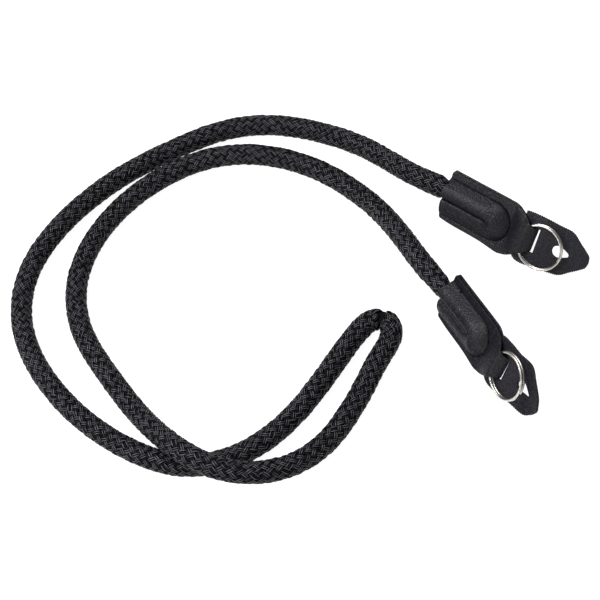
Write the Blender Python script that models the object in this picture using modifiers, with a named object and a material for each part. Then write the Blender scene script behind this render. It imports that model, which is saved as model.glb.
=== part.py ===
"""Camera neck strap: one braided rope, lying in loose loops, that ends in two leather tabs.

Each tab is one strip of leather folded over a split ring. Its two layers hold the rope's end
in a stitched pocket and the tail of a leather guard flap, which keeps the ring off the camera.
World units are metres, +Z up, and the strap lies on the plane Z = 0.
"""

import math
from collections import namedtuple

import bpy
import numpy as np
from mathutils import Vector

MM = 0.001
GAP = 0.3 * MM  # play between two neighbouring pieces

# Rope
ROPE_DIAMETER = 8.0 * MM
ROPE_SIDES_RESOLUTION = 3  # 10 sides
ROPE_POINTS = 80
ROPE_SQUEEZE = 0.58  # radius inside a pocket, as a share of the free rope's
ROPE_SQUEEZE_RUN = 8.0 * MM  # length in front of the mouth over which the rope narrows
ROPE_IN_POCKET = 19.5 * MM  # length of rope behind each mouth

# Leather tab, in the tab's own axes: u runs from the mouth to the ring, v across, n out of
# the back layer's underside towards the front.
LEATHER = 1.0 * MM
LAYER_STEP = LEATHER + GAP
POCKET_ROPE_V = 2.2 * MM
POCKET_ROPE_N = LAYER_STEP + ROPE_SQUEEZE * ROPE_DIAMETER / 2
MOUTH_ROPE_N = 4.2 * MM
MOUTH_CORNER = 1.0 * MM

Edge = namedtuple("Edge", "u low high")
TAB_EDGES_MM = (  # the strip's two edges; the shoulders start at 28 and meet the neck at 39
    Edge(0.0, -9.9, 9.9),
    Edge(14.0, -10.3, 9.9),
    Edge(27.0, -10.9, 9.7),
    Edge(29.0, -10.6, 9.5),
    Edge(31.0, -9.9, 8.6),
    Edge(33.4, -9.0, 7.2),
    Edge(36.0, -7.3, 5.8),
    Edge(38.3, -5.5, 4.9),
    Edge(39.5, -4.8, 4.8),
)

Fold = namedtuple("Fold", "u n")
TAB_FOLD_MM = (  # mid-line of the strip: back layer, up through the slit, over the ring
    Fold(0.0, 0.5),
    Fold(14.0, 0.5),
    Fold(27.0, 0.5),
    Fold(30.4, 0.5),
    Fold(34.0, 0.5),
    Fold(37.6, 0.5),
    Fold(38.7, 0.56),
    Fold(39.3, 0.95),
    Fold(39.5, 1.7),
    Fold(39.4, 2.6),
    Fold(39.0, 3.7),
    Fold(38.2, 4.7),
    Fold(36.8, 5.15),
    Fold(34.6, 5.15),
    Fold(33.3, 4.65),
    Fold(32.0, 3.1),
    Fold(31.1, 2.1),
    Fold(30.1, 1.8),
)
FRONT_ROWS_MM = (29.3, 28.5, 27.5, 26.0, 24.0, 22.0, 20.0, 17.0, 13.0, 9.0, 4.5, 0.0)
FRONT_N = LEATHER / 2 + LAYER_STEP

# Columns across the strip, as shares of the half width
TAB_COLUMNS = (-1.0, -0.94, -0.86, -0.78, -0.70, -0.60, -0.48, -0.37, -0.29, -0.22,
               -0.12, 0.02, 0.16, 0.30, 0.44, 0.56, 0.66, 0.74, 0.80, 0.86, 0.94, 1.0)

Lobe = namedtuple("Lobe", "v half_width height")
ROPE_LOBE = Lobe(2.4 * MM, 5.3 * MM, 5.0 * MM)
SLACK_LOBE = Lobe(-4.9 * MM, 3.1 * MM, 2.2 * MM)  # loose leather beside the rope
END_LOBE = Lobe(0.2 * MM, 7.8 * MM, 4.9 * MM)
MOUTH_FLARE = 0.2  # extra height at the mouth, as a share
MOUTH_FLARE_RUN = 7.0 * MM
LOBES_MERGE_FROM = 19.5 * MM
LOBES_MERGE_TO = 25.5 * MM
POCKET_ROUND_FROM = 21.5 * MM
POCKET_TIP = 29.4 * MM

# Guard flap
GUARD_N = LEATHER / 2 + LAYER_STEP
GUARD_EDGES_MM = (  # the two edges, with s along the leather: hidden tail, slit, hole, tip
    Edge(33.5, -9.6, 9.4),
    Edge(34.8, -10.4, 9.7),
    Edge(36.5, -10.8, 9.9),
    Edge(38.6, -10.7, 10.1),
    Edge(40.8, -10.4, 10.2),
    Edge(42.5, -10.3, 10.2),
    Edge(44.5, -10.1, 10.0),
    Edge(47.0, -9.8, 9.7),
    Edge(50.0, -9.5, 9.5),
    Edge(52.6, -9.1, 9.1),
    Edge(54.0, -8.4, 8.4),
    Edge(56.5, -6.3, 6.3),
    Edge(59.0, -4.4, 4.4),
    Edge(60.8, -2.9, 2.9),
    Edge(61.6, -1.7, 1.7),
    Edge(61.9, -0.6, 0.6),
)
GUARD_TIP = GUARD_EDGES_MM[-1].u * MM
GUARD_CURL_V = 9.0 * MM  # where the curl reaches its full height
GUARD_COLUMNS = (-1.0, -0.8, -0.55, -0.25, 0.0, 0.25, 0.55, 0.8, 1.0)
GUARD_SPREAD_FROM = 43.0 * MM
GUARD_SPREAD_TO = 56.0 * MM
GUARD_BLUNT_FROM = 52.6 * MM
GUARD_BEND_FROM = 40.9 * MM
GUARD_BEND_RADIUS = 9.0 * MM
SLIT_FROM = 38.6 * MM
SLIT_TO = 40.6 * MM
SLIT_HALF = 5.2 * MM
HOLE_CENTRE = 49.8 * MM
HOLE_RADIUS = 2.45 * MM
HOLE_V = -0.3 * MM
HOLE_POINT = 54.4 * MM  # where the teardrop's two straight sides would meet
HOLE_POINT_RADIUS = 0.7 * MM
CUTTER_DEPTH = 12.0 * MM

# Split ring
RING_WIRE = 0.7 * MM
RING_PITCH = 0.8 * MM
RING_RADIUS = 8.6 * MM
RING_STEPS = 30  # per turn
RING_N = 3.65 * MM  # at the arc under the neck
RING_NEAR_ARC = 34.75 * MM
RING_CROSSING = math.radians(40)
RING_END_GAP = math.radians(6)

End = namedtuple("End", "suffix place yaw pitch roll guard ring")
GuardPose = namedtuple("GuardPose", (
    "bend rise twist curl sway "  # 3 angles, then 2 lengths
    "spread blunt hole_turn"  # wider and shorter tip by these lengths, teardrop's angle
))
RingPose = namedtuple("RingPose", "u v lean wire_end")
ENDS = (  # place is the middle of the mouth on the back layer's underside
    End("a", (-12.2 * MM, 50.1 * MM, 9.5 * MM), -49.7, -1.3, 54.0,
        GuardPose(15.0, 0.0, 0.0, 0.0, 0.0, 0.0, 0.0, 0.0),
        RingPose(0.1 * MM, -1.0 * MM, 4.0, -130.0)),
    End("b", (-22.6 * MM, 5.5 * MM, 8.5 * MM), -74.0, 4.8, 59.0,
        GuardPose(26.0, 44.0, 22.0, 0.6 * MM, -1.6 * MM, 1.8 * MM, 1.1 * MM, -20.0),
        RingPose(0.7 * MM, 0.0, 1.0, -5.0)),
)

ROPE_ROUTE_MM = (  # from tab a's mouth to tab b's, chosen by hand along the rope's middle
    (-22.5, 58.5, 13.0),
    (-36.5, 80.5, 7.5),
    (-59.0, 101.5, 4.0),
    (-85.0, 110.5, 4.0),
    (-112.0, 107.5, 4.0),
    (-139.0, 98.5, 4.0),
    (-161.5, 84.0, 4.0),
    (-176.5, 66.0, 4.0),
    (-182.5, 43.0, 4.0),
    (-178.0, 18.5, 4.0),
    (-167.0, -3.5, 4.0),
    (-149.0, -24.5, 4.0),
    (-130.0, -36.0, 4.0),
    (-107.5, -35.5, 4.0),
    (-86.0, -23.5, 4.0),
    (-59.5, 1.5, 4.0),
    (-53.0, 5.0, 4.0),
    (-48.0, 3.0, 4.0),
    (-48.0, -3.5, 4.0),
    (-52.5, -9.5, 4.0),
    (-61.0, -20.0, 4.0),
    (-77.5, -38.0, 4.0),
    (-99.5, -48.5, 8.5),
    (-119.5, -44.5, 12.7),
    (-132.5, -32.0, 12.2),
    (-142.0, -16.0, 7.3),
    (-153.5, 10.5, 4.0),
    (-160.5, 34.0, 4.0),
    (-158.0, 58.0, 4.0),
    (-142.0, 81.0, 4.0),
    (-119.5, 94.5, 4.0),
    (-93.0, 98.0, 4.0),
    (-67.5, 87.5, 4.0),
    (-47.0, 66.0, 4.5),
    (-36.5, 43.5, 7.7),
    (-30.0, 20.0, 11.5),
)


# ---------------------------------------------------------------- scene and materials

def clear_scene():
    for obj in list(bpy.data.objects):
        bpy.data.objects.remove(obj, do_unlink=True)


def new_collection(name):
    collection = bpy.data.collections.new(name)
    bpy.context.scene.collection.children.link(collection)
    return collection


def new_material(name, colour, roughness, metallic=0.0):
    material = bpy.data.materials.new(name)
    material.use_nodes = True
    shader = material.node_tree.nodes["Principled BSDF"]
    shader.inputs["Base Color"].default_value = (*colour, 1.0)
    shader.inputs["Roughness"].default_value = roughness
    shader.inputs["Metallic"].default_value = metallic
    return material


def add_object(name, data, collection, material=None, parent=None):
    obj = bpy.data.objects.new(name, data)
    collection.objects.link(obj)
    obj.parent = parent
    if material:
        data.materials.append(material)
    return obj


def add_end(end, collection):
    """Empty with the tab's own axes: X is u, Y is v and Z is n."""
    empty = add_object("end_" + end.suffix, None, collection)
    empty.location = end.place
    empty.rotation_euler = (math.radians(end.roll), math.radians(-end.pitch), math.radians(end.yaw))
    return empty


# ---------------------------------------------------------------- sheets of leather

def sheet_mesh(name, rows):
    """Open quad surface through rows of points, all rows of one length."""
    mesh = bpy.data.meshes.new(name)
    width = len(rows[0])
    points = [point for row in rows for point in row]
    faces = [
        (r * width + c, (r + 1) * width + c, (r + 1) * width + c + 1, r * width + c + 1)
        for r in range(len(rows) - 1)
        for c in range(width - 1)
    ]
    mesh.from_pydata(points, [], faces)
    mesh.shade_smooth()
    mesh.set_sharp_from_angle(angle=math.radians(50))
    return mesh


def thicken(obj):
    solidify = obj.modifiers.new("leather_thickness", "SOLIDIFY")
    solidify.thickness = LEATHER
    solidify.offset = 0.0
    solidify.use_even_offset = True


def smooth_step(value, low, high):
    t = min(max((value - low) / (high - low), 0.0), 1.0)
    return t * t * (3 - 2 * t)


# ---------------------------------------------------------------- leather tab

def tab_edges(u):
    stations = [edge.u * MM for edge in TAB_EDGES_MM]
    low = np.interp(u, stations, [edge.low * MM for edge in TAB_EDGES_MM])
    high = np.interp(u, stations, [edge.high * MM for edge in TAB_EDGES_MM])
    return float(low), float(high)


def across(share, low, high):
    """Place across a strip, from -1 at its low edge to 1 at its high edge."""
    return share * (high if share > 0 else -low)


def lobe_height(lobe, v):
    x = (v - lobe.v) / lobe.half_width
    return lobe.height * math.sqrt(max(0.0, 1 - x * x))


def pocket_height(u, v):
    """Rise of the front layer over the rope, with a crease where two lobes of leather meet."""
    x = max(0.0, (u - POCKET_ROUND_FROM) / (POCKET_TIP - POCKET_ROUND_FROM))
    if x >= 1:
        return 0.0
    round_share = math.sqrt(1 - x * x)
    v = v / round_share
    two_lobes = max(lobe_height(ROPE_LOBE, v), lobe_height(SLACK_LOBE, v))
    merged = smooth_step(u, LOBES_MERGE_FROM, LOBES_MERGE_TO)
    flare = 1 + MOUTH_FLARE * smooth_step(MOUTH_FLARE_RUN - u, 0.0, MOUTH_FLARE_RUN)
    return flare * round_share * ((1 - merged) * two_lobes + merged * lobe_height(END_LOBE, v))


def mouth_inset(u, share):
    """Rounds the two corners of each layer at the mouth."""
    return MOUTH_CORNER * max(0.0, (abs(share) - 0.9) / 0.1) ** 2 if u == 0.0 else 0.0


def build_tab(end, parent, collection, material):
    rows = []
    for fold in TAB_FOLD_MM:
        u = fold.u * MM
        low, high = tab_edges(u)
        rows.append([
            (u + mouth_inset(u, share), across(share, low, high), fold.n * MM)
            for share in TAB_COLUMNS
        ])
    for u_mm in FRONT_ROWS_MM:
        u = u_mm * MM
        low, high = tab_edges(u)
        row = []
        for share in TAB_COLUMNS:
            v = across(share, low, high)
            row.append((u + mouth_inset(u, share), v, FRONT_N + pocket_height(u, v)))
        rows.append(row)
    name = "tab_leather_" + end.suffix
    tab = add_object(name, sheet_mesh(name, rows), collection, material, parent)
    thicken(tab)
    return tab


# ---------------------------------------------------------------- guard flap

def arc_step(length, heading, turn):
    """Chord of an arc that starts at a heading and turns by an angle over its length."""
    chord = length * float(np.sinc(turn / (2 * math.pi)))
    return chord * math.cos(heading + turn / 2), chord * math.sin(heading + turn / 2)


def guard_point(s, v, pose):
    """Flat to the slit, then bent down and up again, twisted, swayed, its high edge curled."""
    if s <= GUARD_BEND_FROM:
        return (s, v, GUARD_N)
    share = smooth_step(s, GUARD_BEND_FROM, GUARD_TIP)
    turn = math.radians(pose.twist) * share
    lift = pose.curl * share * (max(v, 0.0) / GUARD_CURL_V) ** 2
    bend = math.radians(pose.bend)
    bend_run = bend * GUARD_BEND_RADIUS
    run = s - GUARD_BEND_FROM
    down = min(run, bend_run)
    rest = run - down
    rise = -math.radians(pose.rise) * rest / (GUARD_TIP - GUARD_BEND_FROM - bend_run)
    u_bend, drop_bend = arc_step(down, 0.0, down / GUARD_BEND_RADIUS)
    u_rest, drop_rest = arc_step(rest, bend, rise)
    n = GUARD_N - drop_bend - drop_rest + lift + v * math.sin(turn)
    return (GUARD_BEND_FROM + u_bend + u_rest, v * math.cos(turn) + pose.sway * share, n)


def prism(name, outline, parent, collection):
    """Cutter on an outline of (u, v) points that runs right through the guard."""
    count = len(outline)
    points = [(u, v, level) for level in (GUARD_N - CUTTER_DEPTH, GUARD_N + CUTTER_DEPTH)
              for u, v in outline]
    sides = [(i, (i + 1) % count, count + (i + 1) % count, count + i) for i in range(count)]
    caps = [tuple(reversed(range(count))), tuple(range(count, 2 * count))]
    mesh = bpy.data.meshes.new(name)
    mesh.from_pydata(points, [], sides + caps)
    cutter = add_object(name, mesh, collection, parent=parent)
    cutter.hide_render = True
    cutter.display_type = "WIRE"
    return cutter


def arc_points(centre, radius, start, sweep, steps):
    angles = [start + i * sweep / steps for i in range(steps + 1)]
    return [(centre + radius * math.cos(a), radius * math.sin(a)) for a in angles]


def teardrop(v, turn):
    """Round towards the tab, with two straight sides that run to a small round point."""
    reach = HOLE_POINT - HOLE_CENTRE
    tangent = math.acos(HOLE_RADIUS / reach)
    point_centre = reach * (1 - HOLE_POINT_RADIUS / HOLE_RADIUS)
    outline = arc_points(0.0, HOLE_RADIUS, tangent, 2 * math.pi - 2 * tangent, 12)
    outline += arc_points(point_centre, HOLE_POINT_RADIUS, -tangent, 2 * tangent, 3)
    cos, sin = math.cos(math.radians(turn)), math.sin(math.radians(turn))
    return [(HOLE_CENTRE + x * cos - y * sin, v + x * sin + y * cos) for x, y in outline]


def guard_row(edge, pose):
    """One row of points across the guard, at its station along the leather."""
    u = edge.u * MM
    s = u - pose.blunt * smooth_step(u, GUARD_BLUNT_FROM, GUARD_TIP)
    spread = pose.spread * smooth_step(u, GUARD_SPREAD_FROM, GUARD_SPREAD_TO)
    low, high = edge.low * MM - spread, edge.high * MM + spread
    return [guard_point(s, across(share, low, high), pose) for share in GUARD_COLUMNS]


def build_guard(end, parent, collection, cutters, material):
    rows = [guard_row(edge, end.guard) for edge in GUARD_EDGES_MM]
    name = "guard_flap_" + end.suffix
    guard = add_object(name, sheet_mesh(name, rows), collection, material, parent)
    thicken(guard)
    slit = [(SLIT_FROM, -SLIT_HALF), (SLIT_TO, -SLIT_HALF),
            (SLIT_TO, SLIT_HALF), (SLIT_FROM, SLIT_HALF)]
    hole_v = HOLE_V + end.guard.sway * smooth_step(HOLE_CENTRE, GUARD_BEND_FROM, GUARD_TIP)
    hole = teardrop(hole_v, end.guard.hole_turn)
    for label, outline in (("slit_", slit), ("hole_", hole)):
        cut = guard.modifiers.new(label + "cut", "BOOLEAN")
        cut.operation = "DIFFERENCE"
        cut.solver = "EXACT"
        cut.object = prism(label + end.suffix, outline, parent, cutters)
    return guard


# ---------------------------------------------------------------- curves: ring and rope

def poly_curve(name, points, radius, resolution, shares=None):
    curve = bpy.data.curves.new(name, "CURVE")
    curve.dimensions = "3D"
    curve.bevel_depth = radius
    curve.bevel_resolution = resolution
    curve.use_fill_caps = True
    spline = curve.splines.new("POLY")
    spline.points.add(len(points) - 1)
    spline.use_smooth = True
    for i, point in enumerate(points):
        spline.points[i].co = (*point, 1.0)
        spline.points[i].radius = shares[i] if shares else 1.0
    return curve


def build_ring(end, parent, collection, material):
    """Two flat turns of wire, with one short crossing from the lower to the upper turn."""
    start = math.radians(end.ring.wire_end)
    sweep = 4 * math.pi - RING_END_GAP
    count = 2 * RING_STEPS + 1
    points = []
    for i in range(count):
        turned = sweep * i / (count - 1)
        crossing_from = 2 * math.pi - RING_CROSSING
        level = smooth_step(turned, crossing_from, crossing_from + RING_CROSSING) - 0.5
        angle = start + turned
        points.append((RING_RADIUS * math.cos(angle), RING_RADIUS * math.sin(angle),
                       RING_PITCH * level))
    name = "split_ring_" + end.suffix
    ring = add_object(name, poly_curve(name, points, RING_WIRE / 2, 2), collection, material, parent)
    lean = math.radians(end.ring.lean)
    ring.rotation_euler = (0.0, lean, 0.0)
    ring.location = (
        RING_NEAR_ARC + end.ring.u + RING_RADIUS * math.cos(lean),
        end.ring.v,
        RING_N - RING_RADIUS * math.sin(lean),
    )
    return ring


def natural_spline(knots, values, at):
    """Natural cubic spline through values at the knots, read at other places."""
    step = np.diff(knots)
    slope = np.diff(values, axis=0) / step[:, None]
    count = len(knots)
    matrix = np.eye(count)
    right = np.zeros_like(values)
    for i in range(1, count - 1):
        matrix[i, i - 1:i + 2] = step[i - 1], 2 * (step[i - 1] + step[i]), step[i]
        right[i] = 6 * (slope[i] - slope[i - 1])
    bend = np.linalg.solve(matrix, right)
    k = np.clip(np.searchsorted(knots, at, side="right") - 1, 0, count - 2)
    left = (at - knots[k])[:, None]
    h = step[k][:, None]
    rate = slope[k] - h * (2 * bend[k] + bend[k + 1]) / 6
    return values[k] + left * (rate + left * (bend[k] / 2 + left * (bend[k + 1] - bend[k]) / (6 * h)))


def spread_points(route, count, bend_weight=1.8, straight_step=18 * MM):
    """Points on the smooth curve through the route, closer together where it bends.

    No point lies so low that the rope would sink into the plane Z = 0.
    """
    route = np.array(route)
    knots = np.concatenate([[0], np.cumsum(np.linalg.norm(np.diff(route, axis=0), axis=1))])
    fine = natural_spline(knots, route, np.linspace(0, knots[-1], 4000))
    fine[:, 2] = np.maximum(fine[:, 2], ROPE_DIAMETER / 2)
    step = np.diff(fine, axis=0)
    length = np.linalg.norm(step, axis=1)
    ways = step / length[:, None]
    turn = np.linalg.norm(np.diff(ways, axis=0, append=ways[-1:]), axis=1)
    measure = np.concatenate([[0], np.cumsum(length / straight_step + bend_weight * turn)])
    wanted = np.linspace(0, measure[-1], count)
    return [tuple(np.interp(value, measure, fine[:, axis]) for axis in range(3)) for value in wanted]


def rope_ends(empty):
    """The rope's run at one tab: its end in the pocket, half way, and the mouth."""
    run = ((ROPE_IN_POCKET, POCKET_ROPE_N), (ROPE_IN_POCKET / 2, POCKET_ROPE_N), (0.0, MOUTH_ROPE_N))
    return [empty.matrix_world @ Vector((u, POCKET_ROPE_V, n)) for u, n in run]


def build_rope(ends, collection, material):
    start, finish = (rope_ends(empty) for empty in ends)
    middle = [Vector(point) * MM for point in ROPE_ROUTE_MM]
    points = spread_points(start + middle + finish[::-1], ROPE_POINTS)
    shares = []
    for point in points:
        from_mouth = min((Vector(point) - mouth).length for mouth in (start[-1], finish[-1]))
        from_end = min((Vector(point) - tip).length for tip in (start[0], finish[0]))
        depth = from_mouth if from_end < ROPE_IN_POCKET else -from_mouth
        squeezed = smooth_step(depth, -ROPE_SQUEEZE_RUN, 0.0)
        shares.append(1 - (1 - ROPE_SQUEEZE) * squeezed)
    curve = poly_curve("rope", points, ROPE_DIAMETER / 2, ROPE_SIDES_RESOLUTION, shares)
    return add_object("rope", curve, collection, material)


# ---------------------------------------------------------------- whole strap

def main():
    clear_scene()
    strap = new_collection("camera_neck_strap")
    cutters = new_collection("cutters")
    leather = new_material("black_grained_leather", (0.033, 0.033, 0.038), 0.55)
    guard_leather = new_material("matte_black_leather", (0.025, 0.025, 0.029), 0.7)
    braid = new_material("black_braided_nylon", (0.018, 0.018, 0.02), 0.75)
    steel = new_material("nickel_plated_steel", (0.72, 0.70, 0.67), 0.22, 1.0)
    empties = [add_end(end, strap) for end in ENDS]
    bpy.context.view_layer.update()
    for end, empty in zip(ENDS, empties):
        build_tab(end, empty, strap, leather)
        build_guard(end, empty, strap, cutters, guard_leather)
        build_ring(end, empty, strap, steel)
    build_rope(empties, strap, braid)


main()
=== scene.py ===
"""Camera neck strap: a black braided rope with a stitched leather tab, a leather guard flap and
a split ring at each end, lying in loose loops on a white table.

World units are metres, +Z up. Each end has its own axes: u runs from the tab's mouth to the
ring, v across the tab, and n out of the tab's back layer towards its front.
"""

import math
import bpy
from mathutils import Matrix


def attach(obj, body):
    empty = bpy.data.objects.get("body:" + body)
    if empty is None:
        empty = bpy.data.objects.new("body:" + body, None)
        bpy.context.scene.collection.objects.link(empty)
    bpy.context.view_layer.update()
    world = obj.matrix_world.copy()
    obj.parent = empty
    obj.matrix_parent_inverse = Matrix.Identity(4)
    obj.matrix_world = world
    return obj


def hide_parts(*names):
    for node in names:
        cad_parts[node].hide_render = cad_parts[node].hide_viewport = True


bl_info = {
    "name": "Camera neck strap",
    "version": (1, 0, 0),
    "blender": (4, 5, 0),
    "location": "View3D > Sidebar > Strap",
    "description": "Builds a braided rope camera strap with leather ends and split rings",
    "category": "Add Mesh",
}

from collections import namedtuple

import bpy
import numpy as np
from mathutils import Euler, Matrix, Vector

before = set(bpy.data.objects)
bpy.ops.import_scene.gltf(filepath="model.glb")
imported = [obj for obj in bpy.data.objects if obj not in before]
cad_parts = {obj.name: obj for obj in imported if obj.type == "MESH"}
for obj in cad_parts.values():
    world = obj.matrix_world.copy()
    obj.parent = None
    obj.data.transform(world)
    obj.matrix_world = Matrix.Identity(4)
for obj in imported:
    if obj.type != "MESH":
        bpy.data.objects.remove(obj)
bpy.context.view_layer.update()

MM = 0.001
UP = np.array([0.0, 0.0, 1.0])
BODY = "root"

# ---- sizes shared by the pieces

Lobe = namedtuple("Lobe", "v half_width height fullness")  # fullness 0.5 gives an ellipse
Crowded = namedtuple("Crowded", "at width extra")  # shares of the half width, more columns
End = namedtuple("End", "suffix place yaw pitch roll slide guard ring")  # slide: of the neck
GuardPose = namedtuple("GuardPose", (
    "bend rise twist curl sway "  # 3 angles, then 2 lengths
    "spread blunt hole_turn"  # wider and shorter tip by these lengths, teardrop's angle
))
RingPose = namedtuple("RingPose", "u v lean wire_end")
Lamp = namedtuple("Lamp", "name place size share")
Turn = namedtuple("Turn", "slant reach lift")  # of a knot; slant in radians

ENDS = (  # place is the middle of the mouth on the back layer's underside
    End("a", (-12.2 * MM, 50.1 * MM, 9.5 * MM), -49.7, -1.3, 54.0, 0.0,
        GuardPose(15.0, 0.0, 0.0, 0.0, 0.0, 0.0, 0.0, 0.0),
        RingPose(0.1 * MM, -1.0 * MM, 4.0, -130.0)),
    End("b", (-22.6 * MM, 5.5 * MM, 8.5 * MM), -74.0, 4.8, 59.0, 0.45 * MM,
        GuardPose(26.0, 44.0, 22.0, 0.6 * MM, -0.5 * MM, 3.0 * MM, 1.8 * MM, -20.0),
        RingPose(0.7 * MM, 0.0, 1.0, -5.0)),
)

# Rope
ROPE_IN_POCKET = 19.5 * MM
POCKET_ROPE_V = 2.1 * MM
POCKET_ROPE_N = 3.15 * MM
MOUTH_ROPE_N = 3.75 * MM
FLAT_HALF_WIDTH = 4.5 * MM  # the rope pressed flat at the tab's mouth
FLAT_HALF_HEIGHT = 2.3 * MM
POCKET_SQUEEZE = 0.7  # further, where it passes the mouth
SQUEEZE = (-2.6 * MM, 1.8 * MM)  # from in front of the mouth to past it
FLATTEN_RUN = 13.0 * MM  # in front of the mouth
TABLE_CLEARANCE = 0.1 * MM
ROUTE_POINTS = 8000
ROPE_STEP = 0.5 * MM  # between two stations of the rope's frame

ROPE_ROUTE_MM = (  # from tab a's mouth to tab b's, along the rope's middle
    (-22.5, 58.5, 13.0), (-36.5, 80.5, 7.5), (-59.0, 101.5, 4.0), (-85.0, 110.5, 4.0),
    (-112.0, 107.5, 4.0), (-139.0, 98.5, 4.0), (-161.5, 84.0, 4.0), (-176.5, 66.0, 4.0),
    (-182.5, 43.0, 4.0), (-178.0, 18.5, 4.0), (-167.0, -3.5, 4.0), (-149.0, -24.5, 4.0),
    (-130.0, -36.0, 4.0), (-107.5, -35.5, 4.0), (-86.0, -23.5, 4.0), (-59.5, 1.5, 4.0),
    (-53.0, 5.0, 4.0), (-48.0, 3.0, 4.0), (-48.0, -3.5, 4.0), (-52.5, -9.5, 4.0),
    (-61.0, -20.0, 4.0), (-77.5, -38.0, 4.0), (-99.5, -48.5, 8.5), (-119.5, -44.5, 12.7),
    (-132.5, -32.0, 12.2), (-142.0, -16.0, 7.3), (-153.5, 10.5, 4.0), (-160.5, 34.0, 4.0),
    (-158.0, 58.0, 4.0), (-142.0, 81.0, 4.0), (-119.5, 94.5, 4.0), (-93.0, 98.0, 4.0),
    (-67.5, 87.5, 4.0), (-47.0, 66.0, 4.5), (-36.5, 43.5, 7.7), (-30.0, 20.0, 11.5),
)

# Braid: 32 carriers in a two-over-two braid show 16 columns of floats round the rope
FLOAT_COLUMNS = 16
FLOAT_PITCH = 3.4 * MM  # from one float to the next along a column
FLOAT_HALF_LENGTH = 1.65 * MM  # along the rope
FLOAT_SLANT = math.radians(37)
YARNS_PER_FLOAT = 3
YARN_PITCH = 0.76 * MM
YARN_RADIUS = 0.36 * MM
DIM_YARNS = 0.22  # share of light on the yarn of each float that lies deepest
BRAID_PROUD = 0.22 * MM  # crowns stand out of the nominal diameter
YARN_STATIONS = 7
YARN_SECTION = np.radians([-15, 55, 125, 195])
YARN_TALL = 1.4  # height of that section over its width
YARN_DEEPER = 0.16 * MM  # one yarn of each float
FLOAT_DIVE = 0.8 * MM  # how deep a float's ends go under their neighbours
SCATTER_ALONG = 0.07 * MM  # how much the floats vary, as standard deviations
SCATTER_ROUND = 0.012
SCATTER_HEIGHT = 0.05 * MM
SCATTER_SLANT = 0.05
BRAID_IN_POCKET = 9.0 * MM  # deeper in a pocket no yarns are made
CORE_DEPTH = 0.85 * MM  # of the core's surface under the nominal diameter
CORE_STEP = 1.5 * MM
CORE_SIDES = 16

# Leather tab
LEATHER = 0.85 * MM
BACK_N = 0.7 * MM
FRONT_N = 1.65 * MM
MOUTH_CORNER = 0.8 * MM  # how far the mouth's corners are cut back
MOUTH_CORNER_FROM = 0.88  # share of the half width
MOUTH_CORNER_RUN = 4.0 * MM
EDGES_PART = 0.4 * MM  # how far the two layers stand apart at the high edge
EDGES_PART_LOW = 0.1 * MM  # and less at the low one

TAB_EDGES_MM = (  # back layer: u, low edge and high edge
    (0.0, -9.9, 9.8), (14.0, -10.3, 9.75), (27.0, -10.9, 9.7), (29.0, -10.6, 9.5),
    (31.0, -9.9, 8.6), (33.4, -9.0, 7.1), (36.0, -7.3, 5.9), (38.3, -5.5, 4.9),
    (39.8, -4.8, 4.8),
)
FRONT_EDGES_MM = (  # front layer, back over the ring; its low edge is pulled out a little
    (0.0, -10.5, 9.6), (5.0, -10.9, 9.45), (14.0, -11.05, 9.4), (20.0, -11.25, 9.4),
    (25.0, -11.8, 9.4), (28.0, -11.9, 9.3), (30.0, -11.3, 9.1), (31.6, -10.6, 8.8),
    (33.4, -9.4, 8.3), (35.0, -8.2, 7.6), (36.4, -7.1, 6.9), (38.3, -5.5, 5.4),
    (39.8, -4.8, 4.8),
)
TAB_FOLD_MM = (  # u and n of the neck: up through the slit, over the ring and back down
    (34.0, 0.7), (37.6, 0.66), (38.9, 0.7), (39.5, 1.0), (39.75, 1.6),
    (39.6, 2.2), (39.1, 2.95), (38.35, 3.8), (37.6, 4.5), (36.9, 4.8),
    (36.1, 4.75), (34.9, 4.42), (33.6, 3.95), (32.2, 3.25), (30.9, 2.5),
    (29.9, 1.98), (29.0, 1.65),
)
NECK_SKEW = 0.03  # the strip lies a little askew in the slit
NECK_DROOP = 1.1 * MM  # of the front layer's edges beside the ring
DROOP_IN = (29.0 * MM, 33.0 * MM)
DROOP_OUT = (34.0 * MM, 38.0 * MM)
NECK_SLIDE = (29.0 * MM, 35.0 * MM)
NECK_THINNED = 0.25  # share of the thickness lost where the neck is drawn over the ring
NECK_DRAWN = (3.0 * MM, 4.4 * MM)  # by height
NECK_FROM = 31.0 * MM  # nearer the mouth nothing is drawn thin
TAB_COLUMNS = 125
MOUTH_ROWS_MM = (0.0, 0.06, 0.15, 0.3, 0.5)
ROWS_FROM = 0.9 * MM
BACK_TO = 33.6 * MM
BACK_ROWS = 90
FOLD_ROWS = 56
FRONT_FROM = 28.9 * MM
FRONT_ROWS = 140
ARC_V = 1.64 * MM  # leather drawn round the rope: an arc, and a straight skirt to the seam
ARC_RADIUS = 2.97 * MM
ARC_RISE = 1.29 * MM
SKIRT_FOOT = 6.4 * MM
SKIRT_SLOPE = 1.29
SLACK_LOBE = Lobe(-2.9 * MM, 5.95 * MM, 2.6 * MM, 1.0)
END_LOBE = Lobe(-0.95 * MM, 7.5 * MM, 4.15 * MM, 0.8)
MOUTH_FLARE = 0.13  # the pocket gapes by this share at its mouth
END_FULLNESS = 1.1  # of the pocket's round end; 0.5 would stand upright at the seam
MOUTH_FLARE_RUN = 7.0 * MM
LOBES_MERGE = (18.5 * MM, 23.5 * MM)
POCKET_ROUND_FROM = 21.5 * MM
POCKET_TIP = 29.1 * MM
CREASE = 1.2 * MM  # its depth, between the arc and the slack lobe
CREASE_V = -1.8 * MM
CREASE_HALF = 0.42 * MM
TAB_CROWDED = (  # edges, seam and crease
    Crowded(-1.0, 0.035, 7.0), Crowded(-0.8, 0.05, 4.0), Crowded(-0.135, 0.05, 6.0),
    Crowded(0.67, 0.05, 4.0), Crowded(1.0, 0.035, 7.0),
)

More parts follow.
